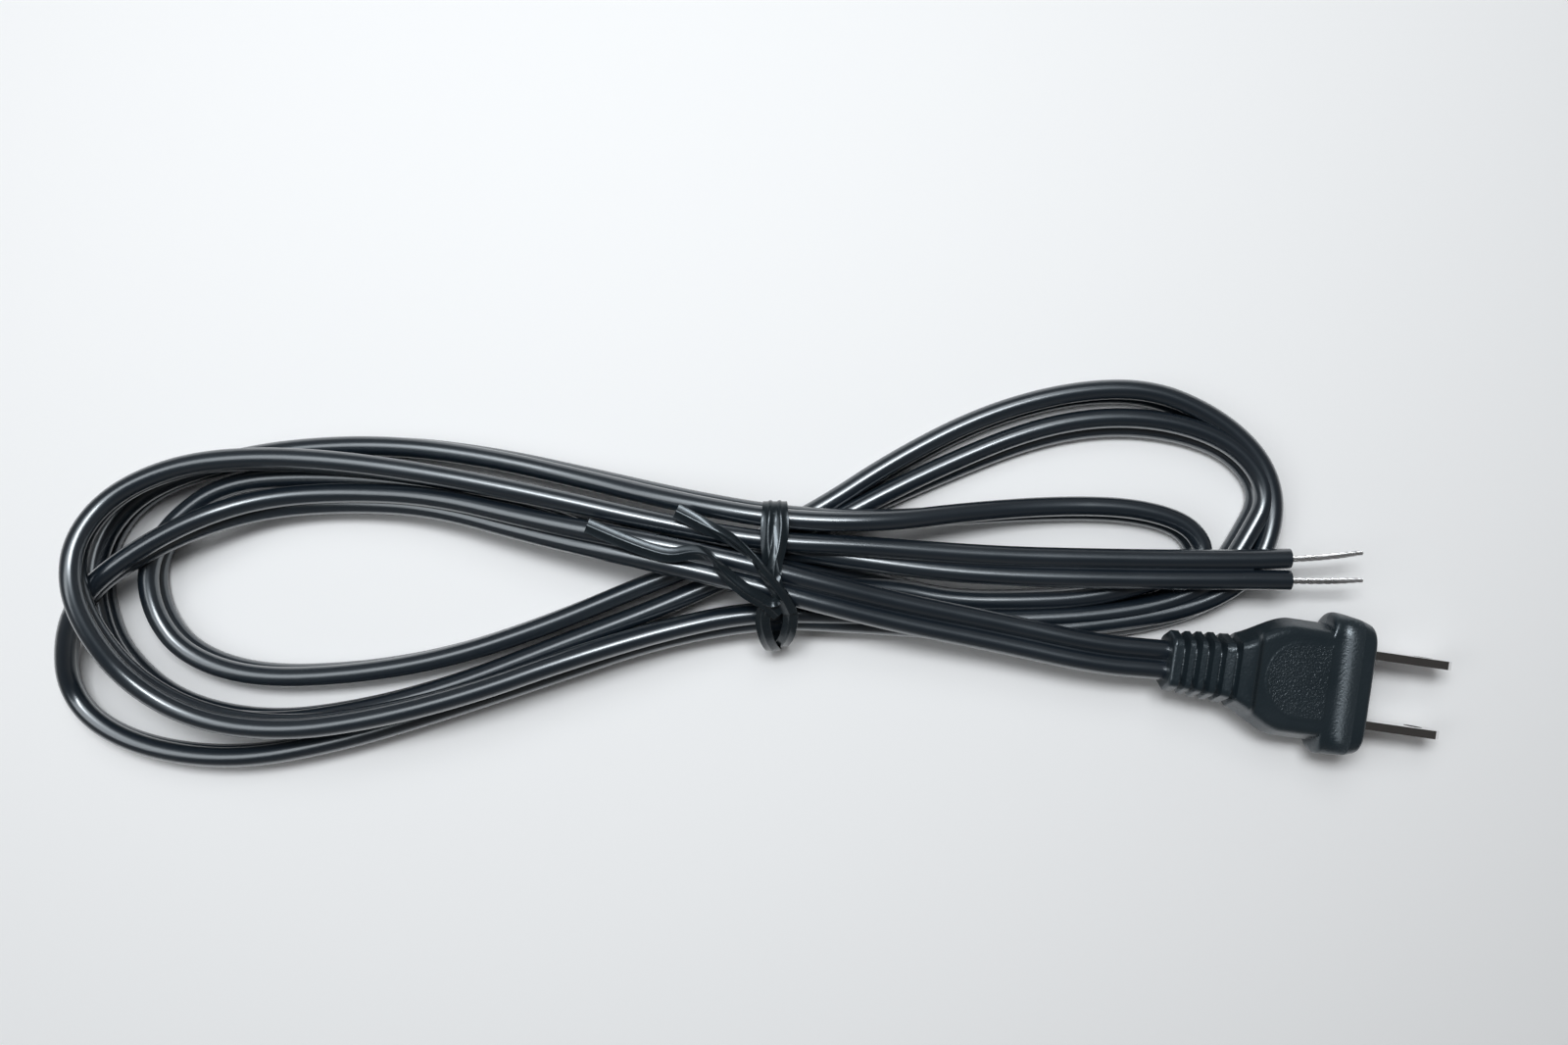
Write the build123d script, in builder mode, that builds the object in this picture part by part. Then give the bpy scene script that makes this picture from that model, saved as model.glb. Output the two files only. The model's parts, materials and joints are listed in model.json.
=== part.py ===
from build123d import *
from math import cos, pi, radians, sin, tan
import os

# Two-conductor flat power cord with a moulded two-blade plug, tied as a figure-of-eight hank.
# Millimetres, +Z up, standing on Z = 0, with the length of the hank along X.

# Driving dimensions of the cord
cord_thickness = 3.6
lobe_spacing = 3.6
web_thickness = 1.4
conductor_diameter = 1.2
arc_share = 0.45
section_sides = 6
lead_length = 14.0
slit_length = 8.5
slit_width = 0.4
bare_length = 12.7
bore_depth = 4.0
conductor_splays = (5.0, 1.0)

# Driving dimensions of the plug, measured back from its front face
plug_front = (111.0, -20.1)
plug_yaw = -8.4
plug_pitch = 4.0
plug_length = 35.5
flange_width = 25.8
flange_height = 13.0
flange_thickness = 4.2
flange_corner = 3.2
flange_edge = 0.9
body_width = 21.4
body_draft = 9.0
narrowing_start = 15.0
relief_start = 24.4
relief_front_width = 12.4
relief_back_width = 10.8
relief_front_height = 9.0
relief_back_height = 7.4
shoulder_height = 10.0
shoulder_back = 21.4
shoulder_front = 18.8
shoulder_step = 0.8
grip_height = 8.2
grip_front = 10.5
rise_height = 12.2
collar_width = 3.3
groove_width = 1.15
groove_pitch = 2.2
groove_depth = 0.9
groove_count = 4

# Driving dimensions of the blades and of the insert that spaces them
blade_spacing = 12.7
blade_thickness = 1.5
blade_length = 15.9
narrow_blade_width = 6.35
wide_blade_width = 7.9
blade_tip = 1.3
hole_diameter = 3.2
hole_distance = 11.9
tail_width = 4.6
barrel_diameter = 2.9
barrel_length = 5.0
barrel_depth = 4.2
carrier_width = 18.6
carrier_height = 5.6
carrier_thickness = 5.6
carrier_corner = 1.2
carrier_setback = 1.6

# Driving dimensions of the insulated cores inside the plug
core_parting = 25.0
core_bend = 18.6
core_radius = 5.0

# Driving dimensions of the twist tie
tie_place = 5.0
tie_reach = 7.0
tie_clearance = 0.9
tie_width = 2.6
tie_thickness = 0.5
tie_corner = 2.5
tie_bend = 2.0

# The cord's way from the plug to its slit end, as the middle of its lower lobe
route = [
    (63.5, -13, 9.3), (46, -9.5, 9.5), (26.5, -5.5, 11.3), (10.5, -1.5, 13.6),
    (-4, 2.5, 14), (-20.5, 6.5, 12.8), (-38, 10, 9.4), (-56.5, 13.5, 6.3), (-73, 15, 4.3),
    (-87, 14, 5.3), (-98.5, 10.5, 8.2), (-110.5, 5, 8.6), (-119.5, -2, 8.6), (-125.5, -10.5, 5.3),
    (-127, -20.5, 1.8), (-120.5, -29, 1.8), (-108, -34, 1.8), (-92, -35, 1.8), (-74, -32.5, 1.8),
    (-36, -21.5, 1.8), (-16, -14.5, 2.3), (3.5, -10.5, 2.8),
    (36, -12.5, 1.8), (54, -12.5, 1.8), (70.5, -11, 1.8), (84.5, -8, 1.8), (94.5, -1.5, 1.8),
    (99, 7.5, 1.8), (99.5, 15.5, 1.8), (95.5, 24, 1.8), (86.5, 31, 1.8), (74, 35, 1.8), (59.5, 34, 1.8),
    (43.5, 29.5, 1.8), (27, 21.5, 1.8), (12.5, 12.5, 2.6), (-1, 5.5, 2.7), (-18, -1.5, 2.3),
    (-54, -15, 1.8), (-72, -18, 1.8), (-90, -18.5, 1.8), (-103, -15.5, 1.8),
    (-110, -7.5, 1.8), (-111, 2, 1.8), (-105.5, 11, 1.8), (-94.5, 18.5, 1.8), (-77.5, 20.5, 1.8),
    (-57.5, 18, 1.8), (-41.5, 13.5, 1.8), (-27, 8, 2.6), (-15, 4, 9.4), (6.5, 0, 9.7),
    (16, -0.5, 5.3), (27, -2, 2.1), (50.5, -4.5, 1.8), (62, -3.5, 1.8), (72, -1.5, 1.8),
    (80, 1, 1.8), (85, 4.5, 1.8), (83, 9.5, 1.8), (77.5, 12, 1.8), (68.5, 13, 1.8), (56, 12.8, 1.8),
    (41, 11.5, 4.3), (24.5, 10, 9.2), (7, 10.5, 9.8), (-10.5, 14, 7.3), (-28.5, 18.5, 2.8),
    (-65, 25, 1.8), (-83, 25.5, 1.8), (-98.5, 22.5, 1.8), (-111, 15.5, 1.8),
    (-118.5, 6.5, 1.8), (-120.5, -4, 1.8), (-115, -14, 1.8), (-103.5, -21.5, 1.8), (-88.5, -25, 1.8),
    (-70.5, -23.5, 1.8), (-52.5, -19.2, 1.8), (-34.5, -12.5, 1.8), (-14.5, -5, 2.3), (4, 3, 2.8),
    (20, 12.5, 2.3), (36, 20.5, 1.8), (52.5, 27.5, 1.8), (66.5, 30, 1.8), (80, 28.5, 1.8),
    (90.5, 23, 1.8), (95, 15, 1.8), (93.5, 7, 1.8), (88.5, -0.5, 1.8), (78, -5.5, 1.8), (63, -7.8, 1.8),
    (47, -8.5, 1.8), (30.5, -8, 1.8), (1, -6, 2.7), (-14, -9.5, 5.3),
    (-31.5, -15.5, 8.8), (-48.5, -21.5, 9.2), (-66, -26, 9.2), (-82, -28, 9.2), (-97.5, -26, 9.2),
    (-109.5, -19.5, 10.3), (-116.5, -10, 13.3), (-119, -0.5, 14.4), (-118, 8.5, 12.8), (-112, 16, 10.2),
    (-101, 21.5, 9.2), (-87, 23, 9.2), (-71.5, 21.5, 9.2), (-54, 18.5, 9.2),
    (-15.5, 10, 9.6), (3.5, 6, 9.9), (42.5, 2.5, 9.4), (65.5, 1.7, 9.4), (84, 1.5, 9.4),
]

# Plan of the tie's two ends, from the top of its loop outwards
tie_ends = [
    [(5.5, -6), (5.3, -0.3), (-0.7, 6), (-6.5, 10.1), (-11.8, 11.9)],
    [(5, -4), (-0.7, -2.2), (-4.3, 3.1), (-14.5, 4.7), (-27.4, 9.5)],
]

# Planes of the plug: its plan, its side and its cross-sections
plug_height = flange_height / 2 * cos(radians(plug_pitch)) - flange_edge * sin(radians(plug_pitch))
plug_across = Vector(-sin(radians(plug_yaw)), cos(radians(plug_yaw)), 0)
plug_heading = plug_across.cross(Vector(0, 0, 1)).rotate(Axis((0, 0, 0), plug_across), plug_pitch)
plug_plane = Plane((*plug_front, plug_height), x_dir=plug_heading, z_dir=plug_heading.cross(plug_across))
side_plane = Plane(plug_plane.origin, x_dir=plug_plane.x_dir, z_dir=-plug_plane.y_dir)


def section_plane(distance):
    """The plug's cross-section at a distance back from its front face, with Y of the plug as its own X."""
    return Plane(plug_plane.from_local_coords((-distance, 0, 0)), x_dir=plug_plane.y_dir, z_dir=plug_plane.x_dir)


def arc_radius(before, corner, after):
    """The largest arc that the two runs at a corner of the cord leave room for."""
    coming = Vector(corner) - Vector(before)
    going = Vector(after) - Vector(corner)
    shorter = min(coming.length, going.length)
    return arc_share * shorter / tan(radians(coming.get_angle(going) / 2))


# Places that several pieces share
cord_exit = plug_plane.from_local_coords((-plug_length, 0, 0))
way = [cord_exit] + [Vector(point) for point in route]
radii = [arc_radius(*way[i - 1:i + 2]) for i in range(1, len(way) - 1)]
lead_direction = (way[-1] - way[-2]).normalized()
lead_plane = Plane(way[-1], x_dir=Vector(0, 0, 1).cross(lead_direction), z_dir=lead_direction)
lead_tip = lead_plane.offset(lead_length)
carrier_back = carrier_setback + carrier_thickness
barrel_back = carrier_back + barrel_length
lobe_offset = lobe_spacing / 2
blade_offset = blade_spacing / 2

# The tie's loop, drawn round the strands that pass near it
bundle = [point for point in way if abs(point.X - tie_place) < tie_reach]
bundle_left = max(point.Y for point in bundle)
bundle_right = min(point.Y for point in bundle)
bundle_top = max(point.Z for point in bundle)
tie_margin = cord_thickness / 2 + tie_clearance + tie_thickness
tie_span = bundle_left - bundle_right + 2 * tie_margin
tie_middle = (bundle_left + bundle_right) / 2
tie_height = bundle_top + tie_margin


def twin_section():
    """The cord's section: two round lobes and the web between them."""
    with Locations((-lobe_offset, 0), (lobe_offset, 0)):
        Circle(cord_thickness / 2)
    Rectangle(lobe_spacing, web_thickness)


# The cord: a plain tube along the hank, with its flat two-lobed section at both ends
with BuildPart() as cord:
    with BuildLine() as cord_path:
        FilletPolyline(way, radius=radii)
    with BuildSketch(Plane(cord_path.line @ 0, z_dir=cord_path.line % 0)):
        RegularPolygon(cord_thickness / 2, section_sides)
    sweep()
    with BuildSketch(section_plane(plug_length)):
        twin_section()
    extrude(amount=plug_length - core_parting)
    for side in (-1, 1):
        with BuildLine(plug_plane) as core_path:
            FilletPolyline(
                (-core_parting - lobe_offset / 2, side * lobe_offset),
                (-core_bend, side * blade_offset),
                (-barrel_back, side * blade_offset),
                radius=core_radius,
            )
        with BuildSketch(Plane(core_path.line @ 0, z_dir=core_path.line % 0)):
            RegularPolygon(cord_thickness / 2, section_sides)
        sweep()
    with BuildSketch(section_plane(barrel_back)):
        with Locations((-blade_offset, 0), (blade_offset, 0)):
            Circle(conductor_diameter / 2)
    extrude(amount=-bore_depth, mode=Mode.SUBTRACT)
    with BuildSketch(lead_plane):
        twin_section()
    extrude(amount=lead_length)
    with BuildSketch(lead_tip):
        Rectangle(slit_width, 2 * cord_thickness)
    extrude(amount=-slit_length, mode=Mode.SUBTRACT)
    with BuildSketch(lead_tip):
        with Locations((-lobe_offset, 0), (lobe_offset, 0)):
            Circle(conductor_diameter / 2)
    extrude(amount=-bore_depth, mode=Mode.SUBTRACT)


def conductor(side, splay):
    """One conductor: its bare end beyond the slit, and its crimped end inside the plug."""
    bare_plane = Plane(lead_tip.origin, x_dir=lead_direction, z_dir=lead_plane.y_dir)
    start = bare_plane.to_local_coords(lead_tip.from_local_coords((side * lobe_offset, 0, 0)))
    outward = 1 if start.Y > 0 else -1
    with BuildPart() as piece:
        with BuildLine(bare_plane) as bare_path:
            Polyline(
                (-bore_depth, start.Y),
                (conductor_diameter, start.Y),
                (bare_length, start.Y + outward * bare_length * tan(radians(splay))),
            )
        with BuildSketch(Plane(bare_path.line @ 0, z_dir=bare_path.line % 0)):
            Circle(conductor_diameter / 2)
        sweep(transition=Transition.RIGHT)
        with BuildSketch(section_plane(barrel_back + bore_depth)):
            with Locations((side * blade_offset, 0)):
                Circle(conductor_diameter / 2)
        extrude(amount=bore_depth + barrel_depth)
    return piece.part


def blade(side, width):
    """One stamped blade: the contact with its hole, the tail through the insert and the crimp barrel."""
    with BuildPart() as piece:
        with BuildSketch(side_plane.offset(-side * blade_offset)) as outline:
            with Locations(((blade_length - carrier_setback) / 2, 0)):
                Rectangle(blade_length + carrier_setback, width)
            chamfer(outline.vertices().group_by(Axis.X)[-1], length=blade_tip)
            with Locations((hole_distance, 0)):
                Circle(hole_diameter / 2, mode=Mode.SUBTRACT)
            with Locations((-carrier_setback - carrier_thickness / 2, 0)):
                Rectangle(carrier_thickness, tail_width)
        extrude(amount=blade_thickness / 2, both=True)
        with BuildSketch(section_plane(barrel_back)):
            with Locations((side * blade_offset, 0)):
                Circle(barrel_diameter / 2)
        extrude(amount=barrel_length)
        with BuildSketch(section_plane(barrel_back)):
            with Locations((side * blade_offset, 0)):
                Circle(conductor_diameter / 2)
        extrude(amount=barrel_depth, mode=Mode.SUBTRACT)
    return piece.part


conductor_1 = conductor(1, conductor_splays[0])
conductor_2 = conductor(-1, conductor_splays[1])
blade_wide = blade(1, wide_blade_width)
blade_narrow = blade(-1, narrow_blade_width)

# The insert that holds the blades at their spacing
with BuildPart() as blade_carrier:
    with BuildSketch(section_plane(carrier_back)):
        RectangleRounded(carrier_width, carrier_height, carrier_corner)
    extrude(amount=carrier_thickness)
    add(blade_wide, mode=Mode.SUBTRACT)
    add(blade_narrow, mode=Mode.SUBTRACT)


def relief_size(distance):
    """Width and height of the strain relief at a distance back from the front face."""
    share = (plug_length - distance) / (plug_length - relief_start)
    width = relief_back_width + share * (relief_front_width - relief_back_width)
    height = relief_back_height + share * (relief_front_height - relief_back_height)
    return width, height


# The grip and strain relief: a drafted plan, cut to a side outline with a scoop above and below
with BuildPart() as grip:
    with BuildSketch(plug_plane):
        with BuildLine():
            relief_edge = Line((-plug_length, relief_back_width / 2), (-relief_start, relief_front_width / 2))
            waist = (-(relief_start + narrowing_start) / 2, (relief_front_width + body_width) / 4)
            hollow = TangentArc(relief_edge @ 1, waist, tangent=relief_edge % 1)
            swell = TangentArc(hollow @ 1, (-narrowing_start, body_width / 2), tangent=hollow % 1)
            Polyline(
                swell @ 1,
                (-flange_thickness / 2, body_width / 2),
                (-flange_thickness / 2, 0),
                (-plug_length, 0),
                relief_edge @ 0,
            )
        make_face()
        mirror(about=Plane.XZ)
    extrude(amount=flange_height / 2, taper=body_draft)
    mirror(about=plug_plane)
    with BuildSketch(side_plane):
        with BuildLine():
            outline_start = (-plug_length, relief_back_height / 2)
            top = Polyline(
                outline_start,
                (-shoulder_back, relief_front_height / 2),
                (-shoulder_front, shoulder_height / 2),
                (-shoulder_front + shoulder_step, grip_height / 2),
                (-grip_front, grip_height / 2),
            )
            rise = TangentArc(top @ 1, (-flange_thickness / 2, rise_height / 2), tangent=(1, 0))
            Polyline(rise @ 1, (-flange_thickness / 2, 0), (-plug_length, 0), outline_start)
        make_face()
        mirror(about=Plane.XZ)
    extrude(amount=body_width, both=True, mode=Mode.INTERSECT)
    for index in range(groove_count):
        groove_back = plug_length - collar_width - index * groove_pitch
        width, height = relief_size(groove_back)
        with BuildSketch(section_plane(groove_back)):
            Rectangle(body_width, flange_height)
            Rectangle(width - 2 * groove_depth, height - 2 * groove_depth, mode=Mode.SUBTRACT)
        extrude(amount=groove_width, mode=Mode.SUBTRACT)

# The moulded plug: the flange and the grip, moulded round everything inside
plug_axis = Axis(plug_plane.origin, plug_plane.x_dir)
with BuildPart() as plug_body:
    with BuildSketch(section_plane(flange_thickness)):
        RectangleRounded(flange_width, flange_height, flange_corner)
    extrude(amount=flange_thickness)
    flange_faces = plug_body.faces().sort_by(plug_axis)
    chamfer(flange_faces[0].edges() + flange_faces[-1].edges(), flange_edge)
    add(grip.part)
    for inner in (cord.part, conductor_1, conductor_2, blade_wide, blade_narrow, blade_carrier.part):
        add(inner, mode=Mode.SUBTRACT)

# The twist tie: a flat loop round the hank and its two bent ends
with BuildPart() as twist_tie:
    with BuildSketch(Plane((tie_place, tie_middle, tie_height / 2), x_dir=(0, 1, 0), z_dir=(1, 0, 0))):
        RectangleRounded(tie_span, tie_height, tie_corner)
        offset(amount=-tie_thickness, mode=Mode.SUBTRACT)
    extrude(amount=tie_width / 2, both=True)
    for end in tie_ends:
        with BuildSketch(Plane.XY.offset(tie_height - tie_thickness)):
            with BuildLine():
                FilletPolyline(end, radius=tie_bend)
            trace(line_width=tie_width)
        extrude(amount=tie_thickness)

os.makedirs("parts", exist_ok=True)
pieces = {
    "cord": cord.part,
    "conductor_1": conductor_1,
    "conductor_2": conductor_2,
    "blade_wide": blade_wide,
    "blade_narrow": blade_narrow,
    "blade_carrier": blade_carrier.part,
    "plug_body": plug_body.part,
    "twist_tie": twist_tie.part,
}
for name, piece in pieces.items():
    piece.label = name
    export_step(piece, f"parts/{name}.step")

tube_length = sum(edge.length for edge in cord_path.edges())
section_area = section_sides / 2 * (cord_thickness / 2) ** 2 * sin(2 * pi / section_sides)
tube_volume = tube_length * section_area
print("cord arcs from", round(min(radii), 1), "mm radius, tube length", round(tube_length, 1))
print("cord volume", round(cord.part.volume), "of which section times length", round(tube_volume))
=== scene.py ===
# %% [markdown]
# # A power cord, tied as a hank
# The part is a flat two-conductor cord with a moulded plug on one end and two stripped wires on
# the other. The solids already hold its sizes, so this lesson loads them as a fixed frame and
# gives every surface its finish. Blender works in metres. Small sizes are written in millimetres,
# so that they read like a drawing, and MM turns them into metres.

# %% Load the frame
import json
import math

import bmesh
import bpy
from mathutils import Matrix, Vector


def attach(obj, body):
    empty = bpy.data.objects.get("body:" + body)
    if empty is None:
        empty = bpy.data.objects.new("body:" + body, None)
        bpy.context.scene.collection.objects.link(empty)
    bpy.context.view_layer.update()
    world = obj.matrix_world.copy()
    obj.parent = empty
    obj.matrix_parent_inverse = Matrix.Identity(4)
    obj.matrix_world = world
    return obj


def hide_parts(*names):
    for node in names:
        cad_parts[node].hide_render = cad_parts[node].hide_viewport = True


MM = 0.001
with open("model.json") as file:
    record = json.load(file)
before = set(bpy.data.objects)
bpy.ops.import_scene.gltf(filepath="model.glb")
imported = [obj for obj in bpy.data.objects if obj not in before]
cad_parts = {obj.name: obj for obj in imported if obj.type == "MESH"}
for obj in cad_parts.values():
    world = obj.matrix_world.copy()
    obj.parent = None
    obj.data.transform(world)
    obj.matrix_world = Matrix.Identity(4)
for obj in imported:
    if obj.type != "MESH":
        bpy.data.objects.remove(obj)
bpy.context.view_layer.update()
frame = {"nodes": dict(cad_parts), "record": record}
nodes = frame["nodes"]
print("solids in the frame:", sorted(nodes))

# %% [markdown]
# ## The camera
# The photograph looks straight down from about a forearm's length. A camera could be aimed with a
# tracking constraint, but one with no turn already looks along -Z with +Y up, so only its place and
# its lens have to be set. The focal length is known in pixels of a 1600 pixel wide picture, and the
# sensor width turns that into millimetres.

# %% Place the camera
CAMERA_PLACE = Vector((7.2, 9.8, 247.0)) * MM
PICTURE_WIDTH = 1600.0
FOCAL_PIXELS = 1350.0
camera_data = bpy.data.cameras.new("camera")
camera_data.lens = camera_data.sensor_width * FOCAL_PIXELS / PICTURE_WIDTH
camera_data.clip_start = 10 * MM
camera = bpy.data.objects.new("camera", camera_data)
camera.location = CAMERA_PLACE
bpy.context.scene.collection.objects.link(camera)
bpy.context.scene.camera = camera
print("lens", round(camera_data.lens, 2), "mm")

# %% [markdown]
# ## Reading a smooth line
# A cord lies in one smooth line, and a NURBS spline gives that from a few given points.
# The mesh pieces follow the points that Blender itself reads from the spline. Other values that
# change along the way, such as how far the cord leans over, are read from a spline of their own
# with the same number of points, so the two lists stay in step.

# %% Helpers for splines and swept meshes
SPLINE_STEPS = 12


def read_spline(values):
    """Points of the NURBS spline that has these values as its control points."""
    curve = bpy.data.curves.new("reader", "CURVE")
    curve.dimensions = "3D"
    curve.resolution_u = SPLINE_STEPS
    spline = curve.splines.new("NURBS")
    spline.points.add(len(values) - 1)
    for point, value in zip(spline.points, values):
        point.co = (*value, 1.0)
    spline.order_u = 3
    spline.use_endpoint_u = True
    carrier = bpy.data.objects.new("reader", curve)
    mesh = bpy.data.meshes.new_from_object(carrier)
    points = [vertex.co.copy() for vertex in mesh.vertices]
    bpy.data.objects.remove(carrier)
    bpy.data.curves.remove(curve)
    bpy.data.meshes.remove(mesh)
    return points


def distances(points):
    """Distance along a line of points, one value for each point."""
    along = [0.0]
    for before, after in zip(points, points[1:]):
        along.append(along[-1] + (after - before).length)
    return along


def directions(points):
    """Direction of a line of points, one unit vector for each point."""
    last = len(points) - 1
    return [(points[min(i + 1, last)] - points[max(i - 1, 0)]).normalized() for i in range(last + 1)]


def add_rings(mesh, rings, along):
    """Joins rings of points into a closed skin, with the length along it as its first UV."""
    uv = mesh.loops.layers.uv.verify()
    count = len(rings[0])
    grid = [[mesh.verts.new(point) for point in ring] for ring in rings]
    for i in range(len(grid) - 1):
        for j in range(count):
            k = (j + 1) % count
            face = mesh.faces.new((grid[i][j], grid[i][k], grid[i + 1][k], grid[i + 1][j]))
            face.smooth = True
            corners = ((i, j), (i, j + 1), (i + 1, j + 1), (i + 1, j))
            for loop, (row, column) in zip(face.loops, corners):
                loop[uv].uv = (along[row], column / count)
    mesh.faces.new(list(reversed(grid[0])))
    mesh.faces.new(grid[-1])
    return grid


def finish_mesh(name, mesh, material, sharp_degrees=None):
    """Makes an object at the origin from a bmesh, with its faces turned outwards."""
    bmesh.ops.recalc_face_normals(mesh, faces=mesh.faces)
    data = bpy.data.meshes.new(name)
    mesh.to_mesh(data)
    mesh.free()
    data.materials.append(material)
    piece = bpy.data.objects.new(name, data)
    bpy.context.scene.collection.objects.link(piece)
    if sharp_degrees is not None:
        data.set_sharp_from_angle(angle=math.radians(sharp_degrees))
    print(name, len(data.polygons), "faces")
    return piece


# %% [markdown]
# ## Finishes
# Six finishes cover the part: glossy extruded vinyl on the cord, grained vinyl on the plug, satin
# film on the tie, bright plate on the blades, tinned wire, and a plain insert inside the plug. A
# flat colour would look like paint, because moulded and drawn surfaces are never perfectly even. So
# all six share one node group with a fine grain and a slow cloudiness.

# %% Build the shared surface group
GRAIN_DETAIL = 3.0
CLOUD_DETAIL = 4.0
CLOUD_RANGE = (0.3, 0.7)


def add_socket(group, name, kind, direction, value=None):
    """One named socket on a node group."""
    socket = group.interface.new_socket(name, in_out=direction, socket_type=kind)
    if value is not None:
        socket.default_value = value


def make_surface_group():
    """Grain and cloudiness from two noises: a roughness that drifts, and a height for bump."""
    group = bpy.data.node_groups.new("moulded_surface", "ShaderNodeTree")
    add_socket(group, "Vector", "NodeSocketVector", "INPUT")
    add_socket(group, "Grain Scale", "NodeSocketFloat", "INPUT", 4000.0)
    add_socket(group, "Cloud Scale", "NodeSocketFloat", "INPUT", 90.0)
    add_socket(group, "Roughness Low", "NodeSocketFloat", "INPUT", 0.3)
    add_socket(group, "Roughness High", "NodeSocketFloat", "INPUT", 0.4)
    add_socket(group, "Roughness", "NodeSocketFloat", "OUTPUT")
    add_socket(group, "Height", "NodeSocketFloat", "OUTPUT")
    add_socket(group, "Cloud", "NodeSocketFloat", "OUTPUT")
    tree = group.nodes
    start = tree.new("NodeGroupInput")
    end = tree.new("NodeGroupOutput")
    grain = tree.new("ShaderNodeTexNoise")
    grain.inputs["Detail"].default_value = GRAIN_DETAIL
    cloud = tree.new("ShaderNodeTexNoise")
    cloud.inputs["Detail"].default_value = CLOUD_DETAIL
    spread = tree.new("ShaderNodeMapRange")
    spread.inputs["From Min"].default_value = CLOUD_RANGE[0]
    spread.inputs["From Max"].default_value = CLOUD_RANGE[1]
    group.links.new(start.outputs["Vector"], grain.inputs["Vector"])
    group.links.new(start.outputs["Vector"], cloud.inputs["Vector"])
    group.links.new(start.outputs["Grain Scale"], grain.inputs["Scale"])
    group.links.new(start.outputs["Cloud Scale"], cloud.inputs["Scale"])
    group.links.new(cloud.outputs["Fac"], spread.inputs["Value"])
    group.links.new(start.outputs["Roughness Low"], spread.inputs["To Min"])
    group.links.new(start.outputs["Roughness High"], spread.inputs["To Max"])
    group.links.new(spread.outputs["Result"], end.inputs["Roughness"])
    group.links.new(grain.outputs["Fac"], end.inputs["Height"])
    group.links.new(cloud.outputs["Fac"], end.inputs["Cloud"])
    return group


SURFACE = make_surface_group()
print("surface group with", len(SURFACE.nodes), "nodes")

# %% [markdown]
# A material gives the group the sizes of its grain and clouds, and two colours and two roughnesses
# for the clouds to drift between. The grain feeds a bump. On the plug it is stronger inside the grip
# panel, and a value stored on the mesh's points says where that is. Sockets that stay the same all
# over a surface, such as the coat, are set on the shader itself.

# %% Make a material from the group
FIELD_GRAIN = 3.0


def field_height(material, height, field):
    """The grain's height, made stronger where a named field of the mesh says so."""
    new = material.node_tree.nodes.new
    link = material.node_tree.links.new
    mask = new("ShaderNodeAttribute")
    mask.attribute_name = field
    more = new("ShaderNodeMath")
    more.operation = "MULTIPLY_ADD"
    more.inputs[1].default_value = FIELD_GRAIN
    more.inputs[2].default_value = 1.0
    link(mask.outputs["Fac"], more.inputs[0])
    grown = new("ShaderNodeMath")
    grown.operation = "MULTIPLY"
    link(height, grown.inputs[0])
    link(more.outputs["Value"], grown.inputs[1])
    return grown.outputs["Value"]


def make_material(name, colours, roughness, grain, cloud, bump, field=None, **fixed):
    """A Principled finish on the shared group; fixed holds plain values for the shader's sockets."""
    material = bpy.data.materials.new(name)
    material.use_nodes = True
    new = material.node_tree.nodes.new
    link = material.node_tree.links.new
    shader = material.node_tree.nodes["Principled BSDF"]
    place = new("ShaderNodeTexCoord")
    surface = new("ShaderNodeGroup")
    surface.node_tree = SURFACE
    surface.inputs["Grain Scale"].default_value = grain
    surface.inputs["Cloud Scale"].default_value = cloud
    surface.inputs["Roughness Low"].default_value = roughness[0]
    surface.inputs["Roughness High"].default_value = roughness[1]
    link(place.outputs["Object"], surface.inputs["Vector"])
    link(surface.outputs["Roughness"], shader.inputs["Roughness"])
    tint = new("ShaderNodeMix")
    tint.data_type = "RGBA"
    tint.inputs["A"].default_value = (*colours[0], 1.0)
    tint.inputs["B"].default_value = (*colours[1], 1.0)
    link(surface.outputs["Cloud"], tint.inputs["Factor"])
    link(tint.outputs["Result"], shader.inputs["Base Color"])
    lift = new("ShaderNodeBump")
    lift.inputs["Strength"].default_value = bump[0]
    lift.inputs["Distance"].default_value = bump[1]
    height = surface.outputs["Height"]
    if field:
        height = field_height(material, height, field)
    link(height, lift.inputs["Height"])
    link(lift.outputs["Normal"], shader.inputs["Normal"])
    for socket, value in fixed.items():
        shader.inputs[socket.replace("_", " ")].default_value = value
    return material


# %% Mix the finishes
COOL_SHEEN = (0.84, 0.93, 1.0, 1.0)

CORD_VINYL = make_material(
    "cord_vinyl",
    colours=((0.005, 0.010, 0.016), (0.008, 0.013, 0.020)),
    roughness=(0.27, 0.34),
    grain=2500.0,
    cloud=60.0,
    bump=(0.05, 0.05 * MM),
    Specular_IOR_Level=1.0,
    Specular_Tint=COOL_SHEEN,
    Coat_Weight=0.9,
    Coat_IOR=1.6,
    Coat_Roughness=0.2,
)
PLUG_VINYL = make_material(
    "plug_vinyl",
    colours=((0.011, 0.018, 0.023), (0.017, 0.025, 0.031)),
    roughness=(0.25, 0.33),
    grain=2500.0,
    cloud=120.0,
    bump=(0.45, 0.12 * MM),
    field="panel",
    Specular_IOR_Level=0.8,
    Specular_Tint=COOL_SHEEN,
)
INSERT_PLASTIC = make_material(
    "insert_plastic",
    colours=((0.04, 0.04, 0.04), (0.06, 0.06, 0.06)),
    roughness=(0.5, 0.6),
    grain=3000.0,
    cloud=120.0,
    bump=(0.1, 0.05 * MM),
)
TIE_FILM = make_material(
    "tie_film",
    colours=((0.007, 0.011, 0.014), (0.012, 0.017, 0.021)),
    roughness=(0.20, 0.30),
    grain=1800.0,
    cloud=200.0,
    bump=(0.2, 0.05 * MM),
    Specular_Tint=COOL_SHEEN,
)
NICKEL = make_material(
    "nickel_plate",
    colours=((0.76, 0.75, 0.75), (0.68, 0.67, 0.67)),
    roughness=(0.07, 0.14),
    grain=5000.0,
    cloud=160.0,
    bump=(0.03, 0.02 * MM),
    Metallic=1.0,
)
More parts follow.
